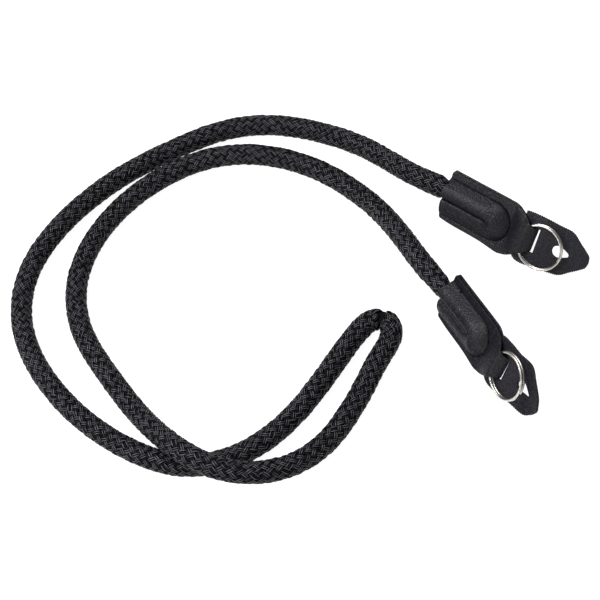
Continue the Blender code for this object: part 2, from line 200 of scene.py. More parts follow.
# Seam: two legs and a half circle round the pocket
SEAM_FROM = 1.0 * MM
SEAM_TURN = 21.5 * MM
SEAM_HALF = 7.65 * MM
SEAM_V = -1.2 * MM
SEAM_GROOVE = 0.6 * MM
SEAM_GROOVE_HALF = 0.26 * MM
BACK_GROOVE = 0.7  # share of that groove's depth in the back layer
SEAM_SHALLOW = 0.55  # share of the groove's depth between two needle holes
STITCH = 2.5 * MM
STITCH_GAP = 0.08  # share of a stitch left free at each of its ends
THREAD = 0.42 * MM
KNOT_TURNS = (
    Turn(0.9, 0.9 * MM, 0.55 * MM), Turn(-0.8, 0.8 * MM, 0.75 * MM), Turn(2.1, 1.5 * MM, 0.35 * MM),
)
KNOT_SUNK = 0.1 * MM
KNOTS = {"b": 6.4 * MM}  # where the thread was tied off, along the upper leg of the seam

# Guard flap
GUARD_N = 1.8 * MM
GUARD_LEATHER = 0.95 * MM
GUARD_EDGES_MM = (
    (33.5, -9.6, 9.4), (34.8, -10.4, 9.7), (36.5, -10.8, 9.9), (38.6, -10.7, 10.1),
    (40.8, -10.4, 10.2), (42.5, -10.3, 10.2), (44.5, -10.1, 10.0), (47.0, -9.8, 9.7),
    (50.0, -9.5, 9.5), (52.6, -9.1, 9.1), (54.0, -8.4, 8.4), (56.5, -6.3, 6.3),
    (59.0, -4.4, 4.4), (60.8, -2.9, 2.9), (61.6, -1.7, 1.7), (61.9, -0.6, 0.6),
)
GUARD_TIP = GUARD_EDGES_MM[-1][0] * MM
GUARD_STATIONS = 240
GUARD_COLUMNS = 51
GUARD_CROWDED = (Crowded(-1.0, 0.06, 6.0), Crowded(1.0, 0.06, 6.0))
GUARD_CURL_V = 9.0 * MM
GUARD_SPREAD_FROM = 43.0 * MM
GUARD_SPREAD_TO = 56.0 * MM
GUARD_BLUNT_FROM = 52.6 * MM
GUARD_BEND_FROM = 40.9 * MM
GUARD_BEND_RADIUS = 9.0 * MM
SLIT_FROM = 38.4 * MM
SLIT_TO = 41.2 * MM
SLIT_TAPER = 0.05 * MM  # wider at its low end
SLIT_HALF = 5.05 * MM
HOLE_CENTRE = 49.8 * MM
HOLE_V = -0.3 * MM
HOLE_RADIUS = 2.45 * MM
HOLE_POINT = 55.2 * MM
HOLE_POINT_RADIUS = 1.15 * MM
CUTTER_N = (-12.0 * MM, 14.0 * MM)  # right through the bent guard
TOOTH = 0.78 * MM  # saw-toothed cut edge
TOOTH_DEPTH = 0.3 * MM
TOOTH_MEAN = 0.64  # of the sine's arches, so the teeth stand half in and half out of the edge
GUARD_WIDER = 0.12 * MM  # than its table, on each side

# Split ring
RING_WIRE = 0.88 * MM
RING_PITCH = 0.98 * MM
RING_RADIUS = 8.6 * MM
RING_N = 3.27 * MM
RING_NEAR_ARC = 34.75 * MM
RING_CROSSING = math.radians(40)
RING_END_GAP = math.radians(6)
RING_END_ROUND = 0.2 * MM
RING_STATIONS = 321
RING_SIDES = 14

# Camera
CAMERA_PLACE = (-77.3 * MM, -350.1 * MM, 555.5 * MM)
CAMERA_ELEVATION = math.radians(56.0)
CAMERA_ROLL = math.radians(14.0)
CAMERA_LENS = 106.2  # for a 36 mm sensor

# Studio
LAMP_AIM = (-70.0 * MM, 30.0 * MM, 0.0)
LAMPS = (  # shares are of the key light's power
    Lamp("softbox_low_left", (-0.92, -0.33, 0.17), (0.3, 0.3), 0.14),
    Lamp("softbox_top", (-0.35, 0.3, 1.1), (0.8, 0.8), 1.0),
    Lamp("lamp_front", (0.1, -1.1, 0.45), (0.25, 0.2), 0.08),
    Lamp("lamp_left", (-0.89, -0.13, 0.88), (0.06, 0.06), 0.42),
)
TABLE_REACH = 4.0


# ---- colours and materials

def linear(hex_colour):
    """sRGB hex, such as #202024, to linear RGB."""
    values = [int(hex_colour[i:i + 2], 16) / 255 for i in (1, 3, 5)]
    return tuple(v / 12.92 if v <= 0.04045 else ((v + 0.055) / 1.055) ** 2.4 for v in values)


def add_node(tree, kind, links=(), inputs=(), **settings):
    """Adds a shader node, sets its properties and socket values, and links sockets into it."""
    node = tree.nodes.new("ShaderNode" + kind)
    for name, value in settings.items():
        setattr(node, name, value)
    for name, value in inputs:
        node.inputs[name].default_value = value
    for source, name in links:
        tree.links.new(source, node.inputs[name])
    return node


def new_material(name, colour, roughness, metallic=0.0, specular=0.5):
    material = bpy.data.materials.new(name)
    material.use_nodes = True
    tree = material.node_tree
    shader = tree.nodes["Principled BSDF"]
    shader.inputs["Base Color"].default_value = (*colour, 1.0)
    shader.inputs["Roughness"].default_value = roughness
    shader.inputs["Metallic"].default_value = metallic
    shader.inputs["Specular IOR Level"].default_value = specular
    return material, tree, shader


def tinted(colour, factor):
    return (*(min(1.0, c * factor) for c in colour), 1.0)


def map_range(tree, source, low, high, to_low, to_high, smooth=False):
    """Maps a value's range from low to high onto another range."""
    node = add_node(tree, "MapRange", [(source, "Value")],
                    [("From Min", low), ("From Max", high), ("To Min", to_low), ("To Max", to_high)],
                    interpolation_type="SMOOTHSTEP" if smooth else "LINEAR")
    return node.outputs["Result"]


def product(tree, first, second):
    return add_node(tree, "Math", [(first, 0), (second, 1)], operation="MULTIPLY").outputs[0]


def noise(tree, width, detail, roughness=0.5):
    """Noise fixed to the piece, its coarsest blobs of a width in metres."""
    place = add_node(tree, "TexCoord")
    node = add_node(tree, "TexNoise", [(place.outputs["Object"], "Vector")],
                    [("Scale", 1 / width), ("Detail", detail), ("Roughness", roughness)])
    return node.outputs["Fac"]


def colour_ramp(tree, source, *stops):
    """Colours from a value, by stops of (value, colour) in rising order."""
    node = add_node(tree, "ValToRGB", [(source, "Fac")])
    elements = node.color_ramp.elements
    for value, _ in stops[1:-1]:
        elements.new(value)
    for element, (value, colour) in zip(elements, stops):
        element.position = value
        element.color = colour
    return node.outputs["Color"]


def add_relief(tree, shader, height, depth, strength=0.5):
    """Bumps from a height of 0 to 1, with a depth in metres."""
    bump = add_node(tree, "Bump", [(height, "Height")],
                    [("Strength", strength), ("Distance", depth)])
    tree.links.new(bump.outputs["Normal"], shader.inputs["Normal"])


def leather_material(name, colour, grain, grain_height, roughness, specular):
    """Split leather with a polyurethane face, embossed with pebbles.

    Painted highlights brighten the pebbles' tops, which are also glossier and catch the light
    one by one; painted shade darkens the valleys, and darkens to near black the leather that a
    seam or a crease presses down (attribute "pressed"). Real pebbles are finer: these are drawn
    as coarse as they need to show."""
    material, tree, shader = new_material(name, colour, roughness, specular=specular)
    place = add_node(tree, "TexCoord")
    pebbles = add_node(tree, "TexVoronoi", [(place.outputs["Object"], "Vector")],
                       [("Scale", 1 / grain), ("Randomness", 1.0)])
    dome = map_range(tree, pebbles.outputs["Distance"], 0.1, 0.75, 1.0, 0.0, smooth=True)
    height = add_node(tree, "Math", [(noise(tree, grain / 2, 2.0, 0.6), 0), (dome, 2)],
                      [(1, 0.5)], operation="MULTIPLY_ADD")
    add_relief(tree, shader, height.outputs[0], grain_height, strength=1.0)
    # Painted highlight on the pebbles' tops and painted shade in their valleys.
    shade = colour_ramp(tree, dome, (0.05, tinted(colour, 0.65)), (0.65, tinted(colour, 1.0)),
                        (1.0, tinted(colour, 1.6)))
    pressed = add_node(tree, "Attribute", attribute_name="pressed").outputs["Fac"]
    # Painted shade, near black, where the attribute "pressed" marks a seam's groove or a crease.
    seam_and_crease_shade = add_node(tree, "MixRGB", [(pressed, "Fac"), (shade, "Color1")],
                    [("Color2", tinted(colour, 0.12))])
    tree.links.new(seam_and_crease_shade.outputs["Color"], shader.inputs["Base Color"])
    facing = add_node(tree, "LayerWeight", inputs=[("Blend", 0.5)]).outputs["Facing"]
    matte = map_range(tree, facing, 0.12, 0.4, specular, 0.15 * specular)
    free = add_node(tree, "Math", [(pressed, 1)], [(0, 1.0)], operation="SUBTRACT")
    sheen = product(tree, matte, free.outputs[0])
    tree.links.new(sheen, shader.inputs["Specular IOR Level"])
    gloss = map_range(tree, dome, 0.2, 0.9, roughness + 0.14, roughness - 0.17)
    tree.links.new(gloss, shader.inputs["Roughness"])
    return material


def yarn_material(colour):
    """Textured nylon yarn: fine parallel filaments with a soft gloss.

    Each yarn's crown carries a painted highlight, brighter or dimmer at random from yarn to yarn
    and dimmest on the deepest yarn of each float; painted shade darkens the yarn's sides and the
    float's ends, where it dives. Its attribute "yarn" holds that random tone with the deepest
    yarn's painted shade, the place across the yarn and the height of the float."""
    material, tree, shader = new_material("textured_nylon_yarn", colour, 0.42, specular=0.3)
    yarn = add_node(tree, "Attribute", attribute_name="yarn")
    random_tone_and_shade, place, risen = add_node(tree, "SeparateXYZ", [(yarn.outputs["Vector"], "Vector")]).outputs
    beside = add_node(tree, "Math", [(place, 0)], operation="ABSOLUTE")
    crown = map_range(tree, beside.outputs[0], 0.35, 0.7, 1.0, 0.0, smooth=True)
    # Painted highlight along each yarn's crown, painted shade at its sides and where the float dives.
    light = product(tree, product(tree, crown, risen), random_tone_and_shade)
    shade = colour_ramp(tree, light, (0.0, tinted(colour, 0.12)), (0.2, tinted(colour, 1.2)),
                        (1.0, tinted(colour, 8.5)))
    tree.links.new(shade, shader.inputs["Base Color"])
    sheen = map_range(tree, light, 0.0, 1.0, 0.02, 0.5)
    tree.links.new(sheen, shader.inputs["Specular IOR Level"])
    add_relief(tree, shader, noise(tree, 0.35 * MM, 2.0), 0.06 * MM)
    return material


def core_material(colour):
    """Nylon filament core, seen only between the yarns; darker than them, partly its own colour and
    partly painted shade in the gaps.
    """
    material, tree, shader = new_material("nylon_core", colour, 0.9, specular=0.1)
    add_relief(tree, shader, noise(tree, 0.5 * MM, 2.0), 0.1 * MM)
    return material


def thread_material(colour):
    """Bonded polyester sewing thread: smooth twisted plies with a slight gloss."""
    material, tree, shader = new_material("bonded_polyester_thread", colour, 0.6, specular=0.1)
    add_relief(tree, shader, noise(tree, 0.3 * MM, 1.0), 0.08 * MM, strength=0.6)
    return material


def nickel_material(colour):
    """Nickel-plated spring steel, drawn and tumbled: bright, with faint uneven gloss."""
    material, tree, shader = new_material("nickel_plated_spring_steel", colour, 0.3, metallic=1.0)
    wear = noise(tree, 4 * MM, 2.0)
    gloss = map_range(tree, wear, 0.3, 0.7, 0.26, 0.36)
    tree.links.new(gloss, shader.inputs["Roughness"])
    shade = colour_ramp(tree, wear, (0.35, tinted(colour, 0.9)), (0.65, tinted(colour, 1.05)))
    tree.links.new(shade, shader.inputs["Base Color"])
    return material


def table_material(colour, glow):
    """White acrylic light table: bright by itself, so nothing on it casts a shadow."""
    material, tree, shader = new_material("white_acrylic_light_table", colour, 0.8, specular=0.2)
    shader.inputs["Emission Color"].default_value = (1.0, 1.0, 1.0, 1.0)
    shader.inputs["Emission Strength"].default_value = glow
    return material


# ---- curves and surfaces

def natural_spline(knots, values, at):
    """Natural cubic spline through values at the knots, read at other places."""
    step = np.diff(knots)
    slope = np.diff(values, axis=0) / step[:, None]
    count = len(knots)
    matrix = np.eye(count)
    right = np.zeros_like(values)
    for i in range(1, count - 1):
        matrix[i, i - 1:i + 2] = step[i - 1], 2 * (step[i - 1] + step[i]), step[i]
        right[i] = 6 * (slope[i] - slope[i - 1])
    bend = np.linalg.solve(matrix, right)
    k = np.clip(np.searchsorted(knots, at, side="right") - 1, 0, count - 2)
    left = (at - knots[k])[:, None]
    h = step[k][:, None]
    rate = slope[k] - h * (2 * bend[k] + bend[k + 1]) / 6
    return values[k] + left * (rate + left * (bend[k] / 2 + left * (bend[k + 1] - bend[k]) / (6 * h)))


def lengths_along(points):
    return np.concatenate([[0], np.cumsum(np.linalg.norm(np.diff(points, axis=0), axis=1))])


def points_round(middle, side, up, angle, radius):
    """Points at angles and distances round middles, by two directions across each."""
    return (middle + (radius * np.cos(angle))[..., None] * side
            + (radius * np.sin(angle))[..., None] * up)


def read_line(at, stations, line):
    """Points at places along a line that is known at its stations."""
    return np.stack([np.interp(at, stations, line[:, i]) for i in range(line.shape[1])], axis=-1)


def even_points(line, count):
    along = lengths_along(line)
    return read_line(np.linspace(0, along[-1], count), along, line)


def smooth_line(points, count):
    """Points at even spacing on a natural spline."""
    knots = lengths_along(points)
    return even_points(natural_spline(knots, points, np.linspace(0, knots[-1], count * 4)), count)


def unit(vectors):
    return vectors / np.linalg.norm(vectors, axis=-1, keepdims=True)


def smooth_step(value, low, high):
    t = np.clip((value - low) / (high - low), 0.0, 1.0)
    return t * t * (3 - 2 * t)


def end_matrix(end):
    turn = Euler((math.radians(end.roll), math.radians(-end.pitch), math.radians(end.yaw)))
    return Matrix.Translation(end.place) @ turn.to_matrix().to_4x4()


def to_world(matrix, points):
    """Points of any array shape (..., 3) through a 4 x 4 matrix."""
    m = np.array(matrix)
    return points @ m[:3, :3].T + m[:3, 3]


def edge_lines(edges_mm, stations):
    """The two edges of a strip at the stations along it, from a table in millimetres."""
    table = np.array(edges_mm) * MM
    spline = natural_spline(table[:, 0], table[:, 1:], np.clip(stations, table[0, 0], table[-1, 0]))
    return spline[:, 0], spline[:, 1]


def grid_faces(rows, columns, start=0, flip=False):
    r, c = np.meshgrid(np.arange(rows - 1), np.arange(columns - 1), indexing="ij")
    a = start + r * columns + c
    quads = np.stack([a, a + columns, a + columns + 1, a + 1], axis=-1).reshape(-1, 4)
    return quads[:, ::-1] if flip else quads


def strip_faces(count, rows, columns, flip=False):
    """Faces of many alike grids, one after another."""
    first = np.arange(count)[:, None, None] * rows * columns
    return (first + grid_faces(rows, columns, flip=flip)).reshape(-1, 4).tolist()


def new_object(name, data):
    made = bpy.data.objects.new(name, data)
    bpy.context.scene.collection.objects.link(made)
    return made


def new_mesh(name, points, faces):
    mesh = bpy.data.meshes.new(name)
    mesh.from_pydata(points, [], faces)
    return mesh


def new_piece(name, points, faces, material):
    """Smooth mesh that rides on the part's one body; faces are a list."""
    mesh = new_mesh(name, points.reshape(-1, 3).tolist(), faces)
    mesh.shade_smooth()
    mesh.materials.append(material)
    piece = new_object(name, mesh)
    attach(piece, BODY)
    return piece


def rounded(distance, radius):
    """Share of a sheet's thickness that is left at a distance from its rounded edge."""
    x = 1 - np.clip(distance / radius, 0, 1)
    return np.sqrt(1 - 0.95 * x * x)


def leather_sheet(name, middle, thickness, material):
    """Closed sheet round a grid of mid-surface points, with a thickness at each point."""
    rows, columns = middle.shape[:2]
    along = np.gradient(middle, axis=0)
    sideways = np.gradient(middle, axis=1)
    normal = np.cross(along, sideways)
    normal /= np.linalg.norm(normal, axis=-1, keepdims=True) + 1e-12
    half = normal * thickness[..., None] / 2
    points = np.concatenate([(middle + half).reshape(-1, 3), (middle - half).reshape(-1, 3)])
    size = rows * columns
    index = np.arange(size).reshape(rows, columns)
    loop = np.concatenate([index[0, :-1], index[:-1, -1], index[-1, :0:-1], index[:0:-1, 0]])
    after = np.roll(loop, -1)
    rim = np.stack([loop, loop + size, after + size, after], axis=-1)
    faces = np.concatenate([grid_faces(rows, columns), grid_faces(rows, columns, size, True),
                            rim[:, ::-1]])
    return new_piece(name, points, faces.tolist(), material)


def across_shares(count, crowded):
    """Columns across a strip, from -1 to 1, closer together near each of the crowded lines."""
    t = np.linspace(-1, 1, 2001)
    density = np.ones_like(t)
    for line in crowded:
        density += line.extra * np.exp(-((t - line.at) / line.width) ** 2)
    total = np.cumsum(density)
    return np.interp(np.linspace(total[0], total[-1], count), total, t)


def across(shares, low, high):
    """Places v across a strip with edges at low and high, and how far each is from its edge."""
    half_width = np.where(shares > 0, high[:, None], -low[:, None])
    return shares * half_width, (1 - np.abs(shares)) * half_width


# ---- rope

def rope_run(end):
    """The rope's run at one tab: its end in the pocket, half way, and the mouth."""
    run = ((ROPE_IN_POCKET, POCKET_ROPE_N), (ROPE_IN_POCKET / 2, POCKET_ROPE_N), (0.0, MOUTH_ROPE_N))
    return to_world(end_matrix(end), np.array([(u, POCKET_ROPE_V, n) for u, n in run]))


def rope_frames(diameter):
    """Stations along the rope: middle, two directions across it, and its half sizes along them."""
    start, finish = rope_run(ENDS[0]), rope_run(ENDS[1])
    route = np.concatenate([start, np.array(ROPE_ROUTE_MM) * MM, finish[::-1]])
    knots = lengths_along(route)
    fine = natural_spline(knots, route, np.linspace(0, knots[-1], ROUTE_POINTS))
    fine[:, 2] = np.maximum(fine[:, 2], diameter / 2 + BRAID_PROUD + TABLE_CLEARANCE)
    along = lengths_along(fine)
    count = int(along[-1] / ROPE_STEP) + 1
    at = np.linspace(0, along[-1], count)
    middle = read_line(at, along, fine)
    ways = unit(np.gradient(middle, axis=0))
    side = np.zeros_like(middle)
    side[0] = np.array(end_matrix(ENDS[0]))[:3, 1]
    for i in range(1, count):
        side[i] = unit(side[i - 1] - ways[i] * (side[i - 1] @ ways[i]))
    up = np.cross(ways, side)
    goal = np.array(end_matrix(ENDS[1]))[:3, 1]
    missing = math.atan2(goal @ up[-1], goal @ side[-1])
    if abs(missing) > math.pi / 2:  # half a turn leaves the flat rope as it is
        missing -= math.copysign(math.pi, missing)
    turn = (missing * at / at[-1])[:, None]
    side, up = side * np.cos(turn) + up * np.sin(turn), up * np.cos(turn) - side * np.sin(turn)
    from_mouth = np.minimum(at, at[-1] - at) - ROPE_IN_POCKET
    flat = 1 - smooth_step(from_mouth, 0.0, FLATTEN_RUN)
    pressed = 1 - (1 - POCKET_SQUEEZE) * smooth_step(-from_mouth, *SQUEEZE)
    wide, high = ((1 + flat * (half / (diameter / 2) - 1)) * pressed
                  for half in (FLAT_HALF_WIDTH, FLAT_HALF_HEIGHT))
    return at, middle, side * wide[:, None], up * high[:, None]


def on_rope(frames, at, angle, radius):
    """World points at places along the rope, angles round it and distances from its middle."""
    stations, middle, side, up = frames
    middle, side, up = (read_line(at, stations, line) for line in (middle, side, up))
    return points_round(middle, side, up, angle, radius)


def braid_piece(name, frames, diameter, slant, first_half, material):
    """All floats of one slant on one half of the rope, each a bundle of parallel yarns."""
    length = frames[0][-1]
    hidden = ROPE_IN_POCKET - BRAID_IN_POCKET
    start, finish = (hidden, length / 2) if first_half else (length / 2, length - hidden)
    random = np.random.RandomState(7 + 2 * int(first_half) + int(slant > 0))
    columns = np.arange(0 if slant > 0 else 1, FLOAT_COLUMNS, 2)
    shift = 0.25 if slant > 0 else 0.75  # the two slants lie half a pitch apart
    numbers = np.arange(math.ceil(start / FLOAT_PITCH), int(finish / FLOAT_PITCH))
    centre_at, centre_angle = np.meshgrid(
        (numbers + shift) * FLOAT_PITCH, columns * 2 * math.pi / FLOAT_COLUMNS)
    # axes: float, yarn, station, point of the yarn's section
    shape = (centre_at.size, 1, 1, 1)
    centre_at = centre_at.reshape(shape) + random.normal(0, SCATTER_ALONG, shape)
    centre_angle = centre_angle.reshape(shape) + random.normal(0, SCATTER_ROUND, shape)
    level = diameter / 2 + BRAID_PROUD - 1.2 * YARN_RADIUS + random.normal(0, SCATTER_HEIGHT, shape)
    steep = slant * (FLOAT_SLANT + random.normal(0, SCATTER_SLANT, shape))
    number = np.arange(YARNS_PER_FLOAT)[:, None, None]
    yarn = (number - (YARNS_PER_FLOAT - 1) / 2) * YARN_PITCH
    t = np.linspace(-1, 1, YARN_STATIONS)[:, None]

    run = FLOAT_HALF_LENGTH * t
    lift = 1 - np.abs(t) ** 2.2
    squeeze = 0.72 + 0.28 * lift  # the yarns draw together where the float dives
    beside = np.cos(YARN_SECTION)
    sideways = yarn * squeeze + YARN_RADIUS * beside * (0.7 + 0.3 * lift)
    dim = (number == random.choice([0, 0, 0, 1, 2, 2, 2], shape)).astype(float)
    height = YARN_TALL * YARN_RADIUS * np.sin(YARN_SECTION) - YARN_DEEPER * dim
    radius = level - FLOAT_DIVE * (1 - lift) + height
    at = centre_at + run - sideways * np.sin(steep)
    around = run * np.tan(steep) + sideways * np.cos(steep)
    points = on_rope(frames, at, centre_angle + around / (diameter / 2), radius)
    faces = strip_faces(dim.size, *points.shape[2:4])
    piece = new_piece(name, points, faces, material)
    # Random tone of each yarn's painted highlight, with painted shade on the deepest yarn of each
    # float.
    random_tone_and_shade = random.uniform(0.55, 1.0, dim.shape) * (1 - (1 - DIM_YARNS) * dim)
    values = np.stack(np.broadcast_arrays(random_tone_and_shade, beside, lift), axis=-1).astype(np.float32)
    attribute = piece.data.attributes.new("yarn", "FLOAT_VECTOR", "POINT")
    attribute.data.foreach_set("vector", values.ravel())
    return piece


def core_piece(frames, diameter, material):
    """The rope's core under the yarns, with closed ends in the two pockets."""
    stations = frames[0]
    at = np.linspace(0, stations[-1], int(stations[-1] / CORE_STEP))
    angle = np.arange(CORE_SIDES) * 2 * math.pi / CORE_SIDES
    radius = diameter / 2 - CORE_DEPTH
    ring = on_rope(frames, at[:, None] + 0 * angle, angle + 0 * at[:, None], radius)
    middles = on_rope(frames, at[[0, -1]], np.zeros(2), np.zeros(2))
    points = np.concatenate([ring.reshape(-1, 3), middles])
    index = np.arange(ring.size // 3).reshape(-1, CORE_SIDES)
    after = np.roll(index, -1, axis=1)
    faces = np.stack([index[:-1], after[:-1], after[1:], index[1:]], axis=-1).reshape(-1, 4).tolist()
    for row, next_row, middle in ((after[0], index[0], -2), (index[-1], after[-1], -1)):
        faces += [(a, b, len(points) + middle) for a, b in zip(row.tolist(), next_row.tolist())]
    return new_piece("rope_core", points, faces, material)


# ---- leather tab

def lobe_height(lobe, v):
    x = (v - lobe.v) / lobe.half_width
    return lobe.height * np.maximum(0.0, 1 - x * x) ** lobe.fullness


def rope_arc(v):
    """Height of the leather that is drawn tight over the rope."""
    beside = v - ARC_V
    arc = np.sqrt(np.maximum(0.0, ARC_RADIUS ** 2 - beside ** 2))
    arc = np.where(arc > 0, arc + ARC_RISE, 0.0)
    skirt = np.maximum(0.0, SKIRT_SLOPE * (SKIRT_FOOT - v))
    touch = ARC_RADIUS * SKIRT_SLOPE / math.hypot(1.0, SKIRT_SLOPE)
    return np.where(beside > touch, skirt, arc)


def pocket(u, v):
    """Rise of the front layer: tight over the rope, slack beside it, with a crease between.

    Also gives how far each point is in the crease, from 0 to 1."""
    x = np.clip((u - POCKET_ROUND_FROM) / (POCKET_TIP - POCKET_ROUND_FROM), 0.0, 0.999)
    round_share = np.sqrt(1 - x * x)
    wide = SEAM_V + (v - SEAM_V) / round_share
    merged = smooth_step(u, *LOBES_MERGE)
    creased = np.exp(-((wide - CREASE_V) / CREASE_HALF) ** 2) * (1 - merged)
    both = np.maximum(rope_arc(wide), lobe_height(SLACK_LOBE, wide)) - CREASE * creased
    flare = 1 + MOUTH_FLARE * smooth_step(MOUTH_FLARE_RUN - u, 0.0, MOUTH_FLARE_RUN)
    height = (1 - merged) * both + merged * lobe_height(END_LOBE, wide)
    height *= flare * (1 - x * x) ** END_FULLNESS
    return np.where(u < POCKET_TIP, height, 0.0), creased


def seam_distance(u, v):
    turned = np.hypot(np.maximum(u - SEAM_TURN, 0.0), v - SEAM_V)
    return np.abs(turned - SEAM_HALF) + 10 * np.maximum(SEAM_FROM - u, 0.0)


def seam_groove(u, v):
    """Depth of the seam's groove: the thread pulls it deepest at each needle hole."""
    round_end = SEAM_HALF * np.arctan2(np.maximum(u - SEAM_TURN, 0.0), np.abs(v - SEAM_V))
    along = np.minimum(u, SEAM_TURN) - SEAM_FROM + round_end
    pulled = SEAM_SHALLOW + (1 - SEAM_SHALLOW) * np.cos(math.pi * along / STITCH) ** 2
    return SEAM_GROOVE * pulled * np.exp(-(seam_distance(u, v) / SEAM_GROOVE_HALF) ** 2)


def tab_middle(shares, slide):
    """Mid-surface of the whole strip, from the back mouth round the ring to the front mouth.

    Also gives each point's distance from the mouth and the side, and how far it is pressed in."""
    mouth_rows = np.array(MOUTH_ROWS_MM) * MM
    back_u = np.concatenate([mouth_rows, np.linspace(ROWS_FROM, BACK_TO, BACK_ROWS)])
    back = np.stack([back_u, np.full_like(back_u, BACK_N)], axis=1)
    fold = smooth_line(np.array(TAB_FOLD_MM) * MM, FOLD_ROWS)
    front_u = np.concatenate([np.linspace(FRONT_FROM, ROWS_FROM, FRONT_ROWS), mouth_rows[::-1]])
    front = np.stack([front_u, np.full_like(front_u, FRONT_N)], axis=1)
    path = np.concatenate([back, fold, front])
    row = np.arange(len(path))[:, None]
    is_front = row >= len(back) + len(fold) - 3
    is_over = row > np.argmax(path[:, 0])
    u = path[:, :1] + 0 * shares
    low, high = (np.where(is_over[:, 0], over, under) for over, under in zip(
        edge_lines(FRONT_EDGES_MM, path[:, 0]), edge_lines(TAB_EDGES_MM, path[:, 0])))
    v, from_side = across(shares, low, high)
    beside = smooth_step(u, *DROOP_IN) * (1 - smooth_step(u, *DROOP_OUT))
    n = path[:, 1:] - np.where(is_over, NECK_DROOP * beside * shares ** 4, 0.0)
    groove = seam_groove(u, v)
    rise, creased = pocket(u, v)
    n = np.where(is_front, n + rise - groove, n)
    # How far each point lies in the seam's groove or the crease; the leather material paints shade
    # there.
    pressed = np.where(is_front, np.maximum(groove / SEAM_GROOVE, creased), 0.0)
    apart = np.where(shares > 0, EDGES_PART, EDGES_PART_LOW) * np.abs(shares) ** 14
    n = np.where(row < len(back), n + BACK_GROOVE * groove - apart, n)
    beyond = np.maximum(0.0, (np.abs(shares) - MOUTH_CORNER_FROM) / (1 - MOUTH_CORNER_FROM))
    corner = MOUTH_CORNER * beyond ** 2 * np.clip(1 - u / MOUTH_CORNER_RUN, 0, 1)
    slid = (slide + NECK_SKEW * v) * smooth_step(u, *NECK_SLIDE)
    return np.stack([u + corner + slid, v, n], axis=-1), u, from_side, pressed


def tab_piece(end, material):
    shares = across_shares(TAB_COLUMNS, TAB_CROWDED)
    middle, from_mouth, from_side, pressed = tab_middle(shares, end.slide)
    thick = LEATHER * rounded(from_side, LEATHER / 4) * rounded(from_mouth, LEATHER / 3)
    drawn = smooth_step(middle[..., 2], *NECK_DRAWN) * (from_mouth > NECK_FROM)
    thick *= 1 - NECK_THINNED * drawn
    name = "pocket_tab_" + end.suffix
    piece = leather_sheet(name, to_world(end_matrix(end), middle), thick, material)
    # Attribute "pressed" drives the painted shade in the seams and creases.
    attribute = piece.data.attributes.new("pressed", "FLOAT", "POINT")
    attribute.data.foreach_set("value", np.tile(pressed.ravel(), 2).astype(np.float32))
    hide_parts("tab_leather_" + end.suffix)


def seam_line():
    """Points (u, v) at each needle hole of the seam."""
    leg = np.linspace(SEAM_FROM, SEAM_TURN, 60)
    arc = np.linspace(math.pi / 2, -math.pi / 2, 80)[1:-1]
    line = np.concatenate([
        np.stack([leg, np.full_like(leg, SEAM_V + SEAM_HALF)], axis=1),
        np.stack([SEAM_TURN + SEAM_HALF * np.cos(arc), SEAM_V + SEAM_HALF * np.sin(arc)], axis=1),
        np.stack([leg[::-1], np.full_like(leg, SEAM_V - SEAM_HALF)], axis=1),
    ])
    return even_points(line, int(round(lengths_along(line)[-1] / STITCH)) + 1)


def thread_tube(points, radius, sides=8):
    """Ring points of a tube along a short line, narrowing to its ends."""
    ways = unit(np.gradient(points, axis=0))
    side = unit(np.cross(ways, UP))
    up = np.cross(side, ways)
    angle = np.arange(sides + 1) * 2 * math.pi / sides
    t = np.linspace(-1, 1, len(points))
    narrowed = radius * np.sqrt(1 - 0.9 * t ** 6)
    return points_round(points[:, None], side[:, None], up[:, None], angle, narrowed[:, None])


def knot_tubes(at):
    """Crossed turns of thread and a loose tail, on the seam's upper leg."""
    t = np.linspace(-1, 1, 9)
    tubes = []
    for turn in KNOT_TURNS:
        u = at + turn.reach * t * math.cos(turn.slant)
        v = SEAM_V + SEAM_HALF + turn.reach * t * math.sin(turn.slant)
        n = FRONT_N + LEATHER / 2 + turn.lift * (1 - 0.7 * t ** 2) - KNOT_SUNK
        tubes.append(thread_tube(np.stack([u, v, n], axis=1), THREAD / 2))
    return tubes


def stitch_piece(end, material):
    """Both faces' stitches of one tab's seam."""
    holes = seam_line()
    tubes = []
    t = np.linspace(0, 1, 9)
    for face in (1, -1):
        for i in range(len(holes) - 1):
            reach = STITCH_GAP + (1 - 2 * STITCH_GAP) * t
            u, v = holes[i][:, None] + (holes[i + 1] - holes[i])[:, None] * reach
            arch = THREAD * (0.5 - 1.1 * np.abs(2 * t - 1) ** 4)  # half proud, and sunk at its ends
            if face > 0:
                n = FRONT_N + pocket(u, v)[0] - seam_groove(u, v) + LEATHER / 2 + arch
            else:
                n = BACK_N + BACK_GROOVE * seam_groove(u, v) - LEATHER / 2 - arch
            tubes.append(thread_tube(np.stack([u, v, n], axis=1), THREAD / 2))
    if end.suffix in KNOTS:
        tubes += knot_tubes(KNOTS[end.suffix])
    points = to_world(end_matrix(end), np.array(tubes))
    faces = strip_faces(*points.shape[:3], flip=True)
    new_piece("seam_thread_" + end.suffix, points, faces, material)


# ---- guard flap

def arc_step(length, heading, turn):
    """Chord of an arc that starts at a heading and turns by an angle over its length."""
    chord = length * np.sinc(turn / (2 * math.pi))
    return chord * np.cos(heading + turn / 2), chord * np.sin(heading + turn / 2)


